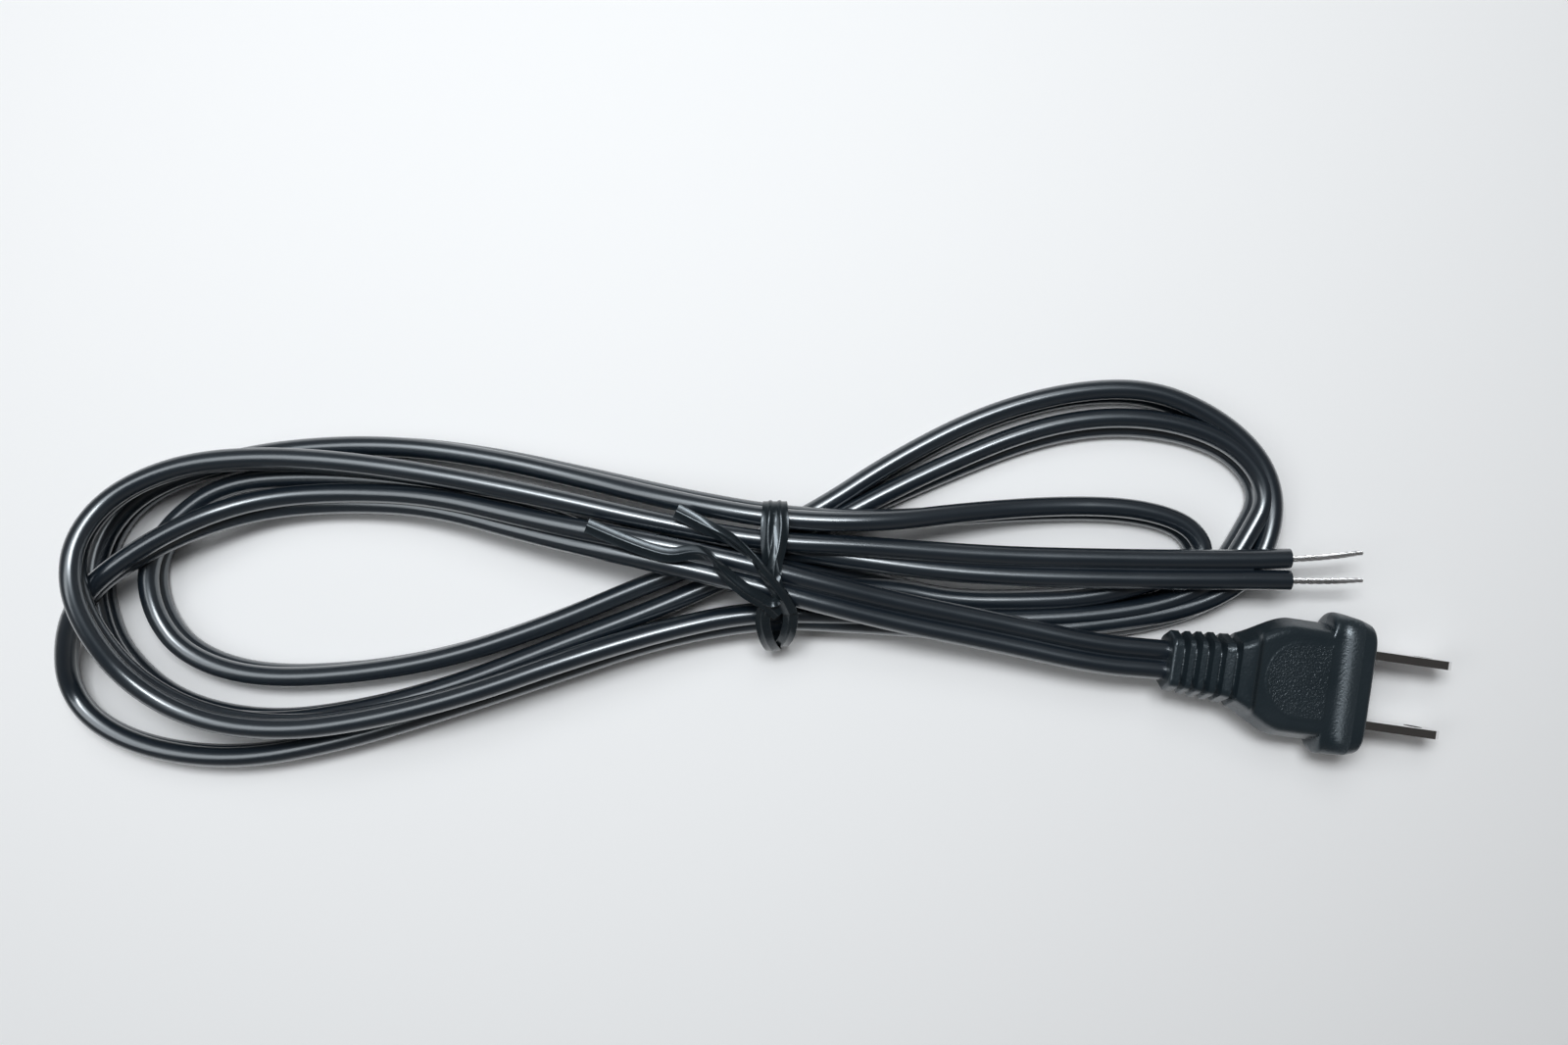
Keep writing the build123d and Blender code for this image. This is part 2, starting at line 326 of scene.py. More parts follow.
TINNED = make_material(
    "tinned_copper",
    colours=((0.88, 0.88, 0.89), (0.80, 0.80, 0.81)),
    roughness=(0.24, 0.36),
    grain=6000.0,
    cloud=300.0,
    bump=(0.08, 0.02 * MM),
    Metallic=1.0,
)
finishes = (CORD_VINYL, PLUG_VINYL, INSERT_PLASTIC, TIE_FILM, NICKEL, TINNED)
print("finishes:", [material.name for material in finishes])

# %% [markdown]
# ## The cord
# The cord is two round lobes of vinyl with a thin web between them. A curve with a bevel would make
# a round tube, so its two-lobed section is swept along a line instead, which can also lean over.
# The route is a list of points from the plug to the slit end. Each has the place of the cord's
# middle in plan, the height of the middle of its lower lobe, and its lean in degrees. It lies flat
# at 0, stands on edge at -90 with its plain lobe on top, and lies flat the other way up at -180.
# Standing on edge is what makes a hank of flat cord look like single strands from above.

# %% Lay the cord's centreline
CORD_THICKNESS = 3.6 * MM
LOBE_OFFSET = 1.8 * MM

plug_mount = next(mount for mount in frame["record"]["mounts"] if mount["name"] == "plug_blades")
PLUG_FRONT = Vector(plug_mount["pos_m"])
PLUG_FORWARD = Vector(plug_mount["axis"]).normalized()
PLUG_ACROSS = Vector((0, 0, 1)).cross(PLUG_FORWARD).normalized()
PLUG_UP = PLUG_FORWARD.cross(PLUG_ACROSS)
PLUG_LENGTH = 35.8 * MM
CORD_INSIDE_PLUG = 5 * MM

ROUTE = [
    (63.5, -13.9, 9.3, 0), (46, -10, 9.5, 0), (26.5, -6, 11.3, -5), (10.5, -1.8, 13.6, -12),
    (-4, 2, 14, -20), (-20.6, 5.5, 12.8, -32), (-38.1, 9.1, 9.4, -42), (-56.6, 13.7, 6.3, -55),
    (-73.1, 14.4, 4.3, -58), (-87, 13.3, 5.3, -60), (-98.2, 9.7, 8.2, -72), (-109.5, 3.8, 8.6, -88),
    (-118, -2.7, 8.2, -100), (-123, -10.5, 5.3, -110), (-124.7, -20.5, 1.8, -116),
    (-118.9, -27.6, 1.8, -106), (-107.6, -32.2, 1.8, -95), (-92, -33.5, 1.8, -88),
    (-74, -30.2, 1.8, -88), (-56, -24.9, 1.8, -90), (-36, -18.3, 1.8, -90), (-16, -11.4, 2.3, -90),
    (3.5, -7.7, 2.8, -90), (20, -8.5, 2.3, -90), (36, -9.8, 1.8, -92), (54, -10.3, 1.8, -100),
    (70.5, -8.8, 1.8, -112), (83.4, -5.8, 1.8, -104), (92.5, -0.1, 1.8, -92), (96.1, 7.9, 1.8, -84),
    (96.4, 15.5, 1.8, -80), (93.2, 22.5, 1.8, -80), (85.4, 29.3, 1.8, -82), (74, 34.1, 1.8, -82),
    (59.5, 33.6, 1.8, -82), (43.5, 29.1, 1.8, -80), (27.4, 20.8, 1.8, -78), (13, 11.6, 2.6, -85),
    (-0.8, 5.1, 2.7, -90), (-18, -1.5, 2.3, -90), (-36, -9, 1.8, -90), (-54, -15, 1.8, -90),
    (-72, -18, 1.8, -92), (-90, -18.5, 1.8, -94), (-102.1, -14.4, 1.8, -93), (-108, -7, 1.8, -91),
    (-109.4, 2, 1.8, -90), (-104.5, 10, 1.8, -93), (-94.4, 17, 1.8, -100), (-77.5, 18.3, 1.8, -92),
    (-57.5, 16.6, 1.8, -90), (-41.5, 12.6, 1.8, -90), (-27, 8, 2.6, -80), (-15, 4, 9.4, -15),
    (-4, 2, 10, 0), (6.5, 0, 9.7, -5), (16, -0.5, 5.3, -45), (27, -2, 2.1, -85), (38, -4.4, 1.8, -88),
    (50.5, -4.5, 1.8, -88), (62, -3.9, 1.8, -86), (72, -1.5, 1.8, -82), (79.5, 1.2, 1.8, -80),
    (83.9, 4.1, 1.8, -80), (81.8, 8.3, 1.8, -80), (76.8, 10.8, 1.8, -78), (68.5, 12.3, 1.8, -76),
    (56, 12.4, 1.8, -76), (41, 11.5, 4.3, -82), (24.5, 10, 9.2, -96), (7, 10.5, 9.8, -102),
    (-10.5, 13.6, 7.3, -102), (-28.5, 17.8, 2.8, -100), (-47, 21.9, 1.8, -96), (-65, 24.1, 1.8, -92),
    (-83, 23.2, 1.8, -85), (-97.7, 20.4, 1.8, -88), (-110.8, 15.3, 1.8, -94), (-118, 6.5, 1.8, -95),
    (-118.9, -4, 1.8, -95), (-115.4, -14.3, 1.8, -93), (-105, -23.7, 1.8, -84),
    (-88.5, -27.1, 1.8, -88), (-70.5, -24.8, 1.8, -88), (-52.5, -19.9, 1.8, -90),
    (-34.5, -12.9, 1.8, -90), (-14.5, -5.4, 2.3, -90), (4, 3, 2.8, -90), (20.2, 12.1, 2.3, -98),
    (36.4, 19.6, 1.8, -112), (52.5, 26.1, 1.8, -115), (66.5, 28.6, 1.8, -114), (79.9, 27.4, 1.8, -110),
    (90.5, 23, 1.8, -100), (95.9, 15, 1.8, -95), (91.5, 6.8, 1.8, -93), (87.1, 0, 1.8, -94),
    (77.6, -5, 1.8, -92), (63, -7.4, 1.8, -90), (47, -8, 1.8, -90), (30.5, -7.6, 2.2, -90),
    (16, -6.8, 3.6, -90), (1.1, -6.4, 4.8, -92), (-13.8, -9.3, 7.2, -92), (-31.5, -14.6, 8.8, -92),
    (-48.5, -20.6, 9.2, -92), (-66, -25, 9.2, -94), (-82, -27.1, 9.2, -95), (-97.2, -25.1, 9.2, -97),
    (-108.6, -18.5, 10.3, -88), (-114.7, -9, 13.3, -82), (-117.3, -0.5, 14.4, -77),
    (-116.8, 7.8, 12.8, -74), (-111.5, 15.2, 10.2, -80), (-100.5, 20.1, 9.2, -88),
    (-87, 21.3, 9.2, -98), (-71.5, 20.5, 9.2, -98), (-54, 18, 9.2, -97), (-35, 14.2, 9.2, -95),
    (-15.5, 9.7, 9.6, -95), (3.5, 6, 9.9, -102), (21, 4.3, 9.6, -138), (42.5, 2.1, 9.4, -170),
    (65.5, 1.5, 9.4, -180), (84, 1.3, 9.4, -180), (98, 1.4, 9.4, -180),
]

cord_exit = PLUG_FRONT - PLUG_FORWARD * PLUG_LENGTH
controls = [cord_exit + PLUG_FORWARD * CORD_INSIDE_PLUG, cord_exit]
leans = [0.0, 0.0]
for x, y, low, lean in ROUTE:
    lift = LOBE_OFFSET * abs(math.sin(math.radians(lean)))
    controls.append(Vector((x * MM, y * MM, low * MM + lift)))
    leans.append(lean)
cord_line = read_spline(controls)
cord_lean = [math.radians(point.x) for point in read_spline([(lean, 0, 0) for lean in leans])]
cord_along = distances(cord_line)
print("cord points", len(cord_line), "length", round(cord_along[-1], 3), "m")

# %% [markdown]
# The section is drawn once, in the cord's own two directions: one across both lobes and one
# through its thickness. At each point of the line it is turned by the lean and joined to the next
# one. One lobe is plain, and the other carries fine ribs that tell the wires apart. The last few
# millimetres are slit, so there the two lobes carry on as two separate tubes.

# %% Draw the cord's section
LOBE_POINTS = 27
WEB_HALF = 0.7 * MM
RIB_HEIGHT = 0.035 * MM
SLIT_LENGTH = 8.5 * MM
SLIT_OPENING = 0.35 * MM


def lobe_outline(side, opening):
    """Points round one lobe from the web and back; the lobe on the positive side is ribbed."""
    reach = math.pi - opening
    points = []
    for i in range(LOBE_POINTS):
        angle = -reach + 2 * reach * i / (LOBE_POINTS - 1)
        radius = CORD_THICKNESS / 2
        if side > 0 and 0 < i < LOBE_POINTS - 1:
            radius += RIB_HEIGHT * (1 if i % 2 else -1)
        turn = angle if side > 0 else angle + math.pi
        points.append((side * LOBE_OFFSET + radius * math.cos(turn), radius * math.sin(turn)))
    return points


def cord_frames(points, turns):
    """At each point, the direction across the two lobes and the direction through the thickness."""
    frames = []
    for direction, turn in zip(directions(points), turns):
        side = Vector((0, 0, 1)).cross(direction).normalized()
        up = direction.cross(side)
        across = side * math.cos(turn) + up * math.sin(turn)
        frames.append((across, direction.cross(across)))
    return frames


def section_ring(centre, axes, outline):
    """One section outline placed at a point of the line."""
    return [centre + axes[0] * across + axes[1] * through for across, through in outline]


# %% Sweep the cord and its slit end
web_angle = math.asin(WEB_HALF / (CORD_THICKNESS / 2))
twin_outline = lobe_outline(1, web_angle) + lobe_outline(-1, web_angle)
frames_along = cord_frames(cord_line, cord_lean)
slit_start = next(i for i, along in enumerate(cord_along) if along > cord_along[-1] - SLIT_LENGTH)

cord_mesh = bmesh.new()
joined = range(slit_start + 1)
add_rings(
    cord_mesh,
    [section_ring(cord_line[i], frames_along[i], twin_outline) for i in joined],
    [cord_along[i] for i in joined],
)
for side in (1, -1):
    lead_outline = lobe_outline(side, math.pi / LOBE_POINTS)
    rings = []
    for i in range(slit_start - 1, len(cord_line)):
        share = max(0.0, (cord_along[i] - cord_along[slit_start]) / SLIT_LENGTH)
        parting = frames_along[i][0] * side * SLIT_OPENING / 2 * share
        rings.append(section_ring(cord_line[i] + parting, frames_along[i], lead_outline))
    add_rings(cord_mesh, rings, cord_along[slit_start - 1:])
cord = finish_mesh("cord_run", cord_mesh, CORD_VINYL, sharp_degrees=50)

# %% [markdown]
# ## The bare wires
# Each stripped end is a bundle of tinned strands, twisted like a rope. Five strands round a core
# stand for the many hair-thin ones of the real wire, which would blur into one at this size. Strands
# follow a path and repeat, which is what Geometry Nodes do best: one curve is copied once for each
# strand, every copy winds round the first, and a small circle is swept along them all.

# %% Helpers for the strand tree
def maths(tree, operation, first, second=0.0):
    """One Math node, whose values are numbers or other nodes' outputs."""
    node = tree.nodes.new("ShaderNodeMath")
    node.operation = operation
    for socket, value in zip(node.inputs, (first, second)):
        if isinstance(value, (int, float)):
            socket.default_value = value
        else:
            tree.links.new(value, socket)
    return node.outputs["Value"]


def scaled(tree, vector, factor):
    """A vector times a number."""
    node = tree.nodes.new("ShaderNodeVectorMath")
    node.operation = "SCALE"
    tree.links.new(vector, node.inputs["Vector"])
    tree.links.new(factor, node.inputs["Scale"])
    return node.outputs["Vector"]


def swept(tree, curve, size, sides):
    """A closed skin round a curve."""
    circle = tree.nodes.new("GeometryNodeCurvePrimitiveCircle")
    circle.inputs["Resolution"].default_value = sides
    tree.links.new(size, circle.inputs["Radius"])
    skin = tree.nodes.new("GeometryNodeCurveToMesh")
    skin.inputs["Fill Caps"].default_value = True
    tree.links.new(curve, skin.inputs["Curve"])
    tree.links.new(circle.outputs["Curve"], skin.inputs["Profile Curve"])
    return skin.outputs["Mesh"]


# %% Wind the strands round their line
TAPER_START = 0.72
TIP_SHARE = 0.66


def winding(tree, sizes, copies):
    """How far each copy moves out from the line as it winds round it, closer in at the tip."""
    new = tree.nodes.new
    link = tree.links.new
    place = new("GeometryNodeSplineParameter").outputs["Factor"]
    normal = new("GeometryNodeInputNormal").outputs["Normal"]
    tangent = new("GeometryNodeInputTangent").outputs["Tangent"]
    cross = new("ShaderNodeVectorMath")
    cross.operation = "CROSS_PRODUCT"
    link(tangent, cross.inputs[0])
    link(normal, cross.inputs[1])
    share = maths(tree, "DIVIDE", copies.outputs["Duplicate Index"], sizes["Strands"])
    wound = maths(tree, "ADD", share, maths(tree, "MULTIPLY", place, sizes["Turns"]))
    angle = maths(tree, "MULTIPLY", wound, 2 * math.pi)
    taper = new("ShaderNodeMapRange")
    taper.interpolation_type = "SMOOTHSTEP"
    taper.inputs["From Min"].default_value = TAPER_START
    taper.inputs["To Min"].default_value = 1.0
    taper.inputs["To Max"].default_value = TIP_SHARE
    link(place, taper.inputs["Value"])
    radius = maths(tree, "MULTIPLY", sizes["Bundle Radius"], taper.outputs["Result"])
    out = scaled(tree, normal, maths(tree, "MULTIPLY", maths(tree, "COSINE", angle), radius))
    over = scaled(tree, cross.outputs["Vector"], maths(tree, "MULTIPLY", maths(tree, "SINE", angle), radius))
    both = new("ShaderNodeVectorMath")
    link(out, both.inputs[0])
    link(over, both.inputs[1])
    return both.outputs["Vector"]


# %% Build the strand tree
LINE_STEPS = 56
STRAND_SIDES = 8
CORE_SIDES = 10
CORE_SHARE = 0.5


def make_strand_tree():
    """A twisted bundle along a bent line, thinner at its tip."""
    tree = bpy.data.node_groups.new("twisted_strands", "GeometryNodeTree")
    add_socket(tree, "Geometry", "NodeSocketGeometry", "INPUT")
    for name in ("Start", "Middle", "End"):
        add_socket(tree, name, "NodeSocketVector", "INPUT")
    add_socket(tree, "Strands", "NodeSocketInt", "INPUT", 5)
    add_socket(tree, "Strand Radius", "NodeSocketFloat", "INPUT", 0.21 * MM)
    add_socket(tree, "Bundle Radius", "NodeSocketFloat", "INPUT", 0.38 * MM)
    add_socket(tree, "Turns", "NodeSocketFloat", "INPUT", 2.2)
    add_socket(tree, "Material", "NodeSocketMaterial", "INPUT")
    add_socket(tree, "Geometry", "NodeSocketGeometry", "OUTPUT")
    new = tree.nodes.new
    link = tree.links.new
    sizes = new("NodeGroupInput").outputs
    end = new("NodeGroupOutput")

    line = new("GeometryNodeCurveQuadraticBezier")
    line.inputs["Resolution"].default_value = LINE_STEPS
    for name in ("Start", "Middle", "End"):
        link(sizes[name], line.inputs[name])
    copies = new("GeometryNodeDuplicateElements")
    copies.domain = "SPLINE"
    link(line.outputs["Curve"], copies.inputs["Geometry"])
    link(sizes["Strands"], copies.inputs["Amount"])
    moved = new("GeometryNodeSetPosition")
    link(copies.outputs["Geometry"], moved.inputs["Geometry"])
    link(winding(tree, sizes, copies), moved.inputs["Offset"])

    core_radius = maths(tree, "MULTIPLY", sizes["Bundle Radius"], CORE_SHARE)
    join = new("GeometryNodeJoinGeometry")
    strands = swept(tree, moved.outputs["Geometry"], sizes["Strand Radius"], STRAND_SIDES)
    link(strands, join.inputs["Geometry"])
    link(swept(tree, line.outputs["Curve"], core_radius, CORE_SIDES), join.inputs["Geometry"])
    real = new("GeometryNodeRealizeInstances")
    paint = new("GeometryNodeSetMaterial")
    link(join.outputs["Geometry"], real.inputs["Geometry"])
    link(real.outputs["Geometry"], paint.inputs["Geometry"])
    link(sizes["Material"], paint.inputs["Material"])
    link(paint.outputs["Geometry"], end.inputs["Geometry"])
    return tree


STRANDS = make_strand_tree()
print("strand tree with", len(STRANDS.nodes), "nodes")

# %% [markdown]
# A node tree's result lives only on its modifier. The two wires are therefore evaluated once each
# and kept as plain meshes, with the bends of each wire as the tree's inputs.

# %% Helpers that keep a tree's result
def set_inputs(modifier, tree, **values):
    """Sets a modifier's inputs by the identifiers of the tree's sockets."""
    for item in tree.interface.items_tree:
        name = item.name.replace(" ", "_")
        if item.in_out == "INPUT" and name in values:
            modifier[item.identifier] = values[name]


def baked(name, tree, material, **values):
    """Runs a node tree on an empty mesh and keeps the result as a plain mesh object."""
    host = bpy.data.objects.new(name, bpy.data.meshes.new(name))
    bpy.context.scene.collection.objects.link(host)
    modifier = host.modifiers.new("nodes", "NODES")
    modifier.node_group = tree
    set_inputs(modifier, tree, Material=material, **values)
    graph = bpy.context.evaluated_depsgraph_get()
    data = bpy.data.meshes.new_from_object(host.evaluated_get(graph))
    host.modifiers.remove(modifier)
    host.data = data
    data.shade_smooth()
    print(name, len(data.polygons), "faces")
    return host


# %% Twist the two wires
wire_lines = {
    "conductor_1": ((94.5, 3.15, 9.4), (102.6, 3.2, 9.5), (110.9, 4.4, 9.7)),
    "conductor_2": ((94.5, -0.5, 9.4), (103.5, -0.9, 9.4), (110.9, -0.5, 9.7)),
}
wires = {}
for node, points in wire_lines.items():
    start, middle, end = (Vector(point) * MM for point in points)
    wires[node] = baked(node + "_strands", STRANDS, TINNED, Start=start, Middle=middle, End=end)

# %% [markdown]
# ## The plug
# The plug is vinyl moulded round the blades: a ribbed strain relief, a waist that swells to the
# grip, a scoop for the thumb and a flange. It could be cut from a box with booleans, but its faces
# flow into each other, and a loft gives that directly. Each section is a rounded outline given by
# four numbers that change along the plug: half the width at the parting line, half the width at the
# top, half the height, and the rounding of the corner. Sizes here are in millimetres.

# %% Shape the plug's sections
PLUG_END = PLUG_LENGTH / MM
FLANGE_HALF_WIDTH = 12.9
FLANGE_HALF_HEIGHT = 6.5
FLANGE_FLARE = 1.4
FLANGE_EDGE = 1.0
FLANGE_CORNER = 3.2
FLANGE_FLAT = 2.7
EAR_BACK = 6.0
EAR_END = 7.2
GRIP_HALF_HEIGHT = 4.1
GRIP_FRONT = 6.3
SCOOP_POWER = 2.4
GROOVES = (33.5, 31.4, 29.3, 27.0, 24.3)
GROOVE_HALF = 0.55
GROOVE_DEPTH = 1.2
GROOVE_POWER = 4
REAR_ROUNDING = 0.6
EAR_LEAN = 0.4
EAR_CORNER_SHARE = 0.75
LEAST_TOP = 0.5

# Pairs of a distance back from the front face and the body's size there
WIDTHS = [(14.0, 10.7), (26.2, 6.2), (PLUG_END, 5.5)]
HEIGHTS = [(19.6, GRIP_HALF_HEIGHT), (21.2, 5.2), (24.3, 4.9), (27.0, 4.5), (PLUG_END, 3.75)]
LEANS = [(14.0, 1.4), (20.0, 1.7), (26.0, 1.7), (PLUG_END, 1.4)]
CORNERS = [(19.0, 0.9), (25.0, 0.7)]


def between(value, points):
    """Value of a line through given pairs, eased at each pair."""
    for (x0, y0), (x1, y1) in zip(points, points[1:]):
        if value <= x1:
            share = max(0.0, (value - x0) / (x1 - x0))
            return y0 + (y1 - y0) * share * share * (3 - 2 * share)
    return points[-1][1]


def rounded_edge(distance, radius):
    """How far a surface falls back at a distance inside a rounded edge."""
    if distance >= radius:
        return 0.0
    return radius - math.sqrt(max(0.0, radius * radius - (radius - distance) ** 2))


def groove_fall(back):
    """Depth of the ring grooves at a distance back from the front face."""
    fall = 0.0
    for middle in GROOVES:
        share = max(0.0, 1 - (abs(back - middle) / GROOVE_HALF) ** GROOVE_POWER)
        fall = max(fall, GROOVE_DEPTH * share)
    return fall


def plug_section(back):
    """Half widths, half height and corner rounding of the plug at a distance back from its face."""
    wide = between(back, WIDTHS)
    tall = between(back, HEIGHTS)
    lean = between(back, LEANS)
    corner = between(back, CORNERS)
    fall = groove_fall(back) + rounded_edge(PLUG_END - back, REAR_ROUNDING)
    wide -= fall
    tall -= fall
    if back < GRIP_FRONT:
        scoop = (GRIP_FRONT - max(back, FLANGE_FLAT)) / (GRIP_FRONT - FLANGE_FLAT)
        tall += (FLANGE_HALF_HEIGHT - GRIP_HALF_HEIGHT) * scoop ** SCOOP_POWER
    if back < EAR_END:
        behind = max(0.0, back - EAR_BACK) / (EAR_END - EAR_BACK)
        ear = math.sqrt(max(0.0, 1 - behind * behind))
        ahead = max(0.0, EAR_BACK - back) / EAR_BACK
        wide += (FLANGE_HALF_WIDTH - FLANGE_FLARE * ahead * ahead - wide) * ear
        lean += (EAR_LEAN - lean) * ear
        corner += (min(FLANGE_CORNER, EAR_CORNER_SHARE * tall) - corner) * ear
    edge = rounded_edge(back, FLANGE_EDGE)
    return wide - edge, max(wide - edge - lean, LEAST_TOP), tall - edge, corner


print("plug section at its face:", [round(size, 2) for size in plug_section(0.0)])

# %% Draw the outline of a section
SIDE_POINTS = 8
CORNER_POINTS = 8
TOP_POINTS = 44


def quarter_outline(wide, top, tall, corner):
    """From the parting line up the side, round the corner and in to the middle of the top."""
    slope = Vector((top - wide, tall)).normalized()
    turn = math.acos(max(-1.0, min(1.0, -slope.x)))
    set_back = corner * math.tan((math.pi - turn) / 2)
    peak = Vector((top, tall))
    start = peak - slope * set_back
    finish = peak - Vector((1, 0)) * set_back
    points = [Vector((wide, 0)).lerp(start, i / SIDE_POINTS) for i in range(SIDE_POINTS)]
    for i in range(CORNER_POINTS):
        share = i / CORNER_POINTS
        points.append(start * (1 - share) ** 2 + peak * 2 * share * (1 - share) + finish * share * share)
    points += [finish.lerp(Vector((0, tall)), i / TOP_POINTS) for i in range(TOP_POINTS)]
    return points


def full_outline(section):
    """The four quarters in one closed ring, each mirrored from the first."""
    quarter = quarter_outline(*section)
    ring = list(quarter)
    ring.append(Vector((0, section[2])))
    ring += [Vector((-p.x, p.y)) for p in reversed(quarter[1:])]
    ring.append(Vector((-quarter[0].x, 0)))
    ring += [Vector((-p.x, -p.y)) for p in quarter[1:]]
    ring.append(Vector((0, -section[2])))
    ring += [Vector((p.x, -p.y)) for p in reversed(quarter[1:])]
    return ring


# %% [markdown]
# The grip carries a low border, round towards the cord, with a grainy field inside it. The border
# lifts the loft's own points, because a bump alone would leave its outline flat, and the field is a
# value on the points that the vinyl's grain reads.

# %% Loft the plug
PLUG_STATION = 0.15
PANEL_CENTRE = 11.7
PANEL_RADIUS = 6.8
PANEL_FRONT = 6.8
PANEL_RIDGE = 0.08
RIDGE_HALF = 0.22
RIDGE_FADE = (7.5, 10.5)
PANEL_FADE = 0.4
TOP_BAND = 0.05
FRONT_STATIONS = (0.04, 0.1, 0.22)
REAR_STATIONS = (0.08, 0.03, 0.0)


def panel_distance(back, across):
    """Distance outside the grip panel's outline: round towards the cord, straight at the flange."""
    if back > PANEL_CENTRE:
        return math.hypot(back - PANEL_CENTRE, across) - PANEL_RADIUS
    return max(abs(across) - PANEL_RADIUS, PANEL_FRONT - back)


plug_mesh = bmesh.new()
panel_layer = plug_mesh.verts.layers.float.new("panel")
stations = [i * PLUG_STATION for i in range(int(PLUG_END / PLUG_STATION) + 1)]
stations = sorted({*stations, *FRONT_STATIONS, *(PLUG_END - ahead for ahead in REAR_STATIONS)})
plug_rings = []
panel_values = []
for back in stations:
    section = plug_section(back)
    ridge = PANEL_RIDGE * between(back, [(RIDGE_FADE[0], 0.0), (RIDGE_FADE[1], 1.0)])
    ring = []
    for across, height in full_outline(section):
        outside = panel_distance(back, across)
        on_top = abs(height) > section[2] - TOP_BAND
        if on_top:
            height += math.copysign(ridge * math.exp(-((outside / RIDGE_HALF) ** 2)), height)
        panel_values.append(min(1.0, max(0.0, -outside / PANEL_FADE)) if on_top else 0.0)
        ring.append(PLUG_FRONT + (PLUG_FORWARD * -back + PLUG_ACROSS * across + PLUG_UP * height) * MM)
    plug_rings.append(ring)
plug_grid = add_rings(plug_mesh, plug_rings, [back * MM for back in stations])
flat_values = iter(panel_values)
for ring in plug_grid:
    for vertex in ring:
        vertex[panel_layer] = next(flat_values)
plug = finish_mesh("plug_moulding", plug_mesh, PLUG_VINYL, sharp_degrees=50)

# %% [markdown]
# ## The twist tie
# The tie is a flat ribbon of film with a thin wire down its middle. It goes round the hank, twists
# on itself, and its two ends lie over the strands. A plane with Solidify would lose the wire's ridge,
# so each ribbon is swept like the cord, with the direction across its flat side read from a second
# spline. Rows hold a point in millimetres and that direction.

# %% Bend the ribbons
TIE_HALF_WIDTH = 1.35 * MM
TIE_HALF_FILM = 0.13 * MM


def ribbon_outline():
    """Film on both sides of a raised wire, in shares of the half width and the half film."""
    top = [(-1.0, 0.35), (-0.97, 1.0), (-0.32, 1.0), (-0.22, 1.9), (0.0, 2.8)]
    top += [(-x, y) for x, y in reversed(top[:-1])]
    ring = top + [(x, -y) for x, y in reversed(top)]
    return [(x * TIE_HALF_WIDTH, y * TIE_HALF_FILM) for x, y in ring]


def add_ribbon(mesh, rows):
    """One ribbon from rows of a point and the direction across its flat side."""
    line = read_spline([Vector(point) * MM for point, across in rows])
    flats = read_spline([Vector(across) for point, across in rows])
    outline = ribbon_outline()
    rings = []
    for point, direction, flat in zip(line, directions(line), flats):
        across = (flat - direction * flat.dot(direction)).normalized()
        rings.append(section_ring(point, (across, direction.cross(across)), outline))
    add_rings(mesh, rings, distances(line))


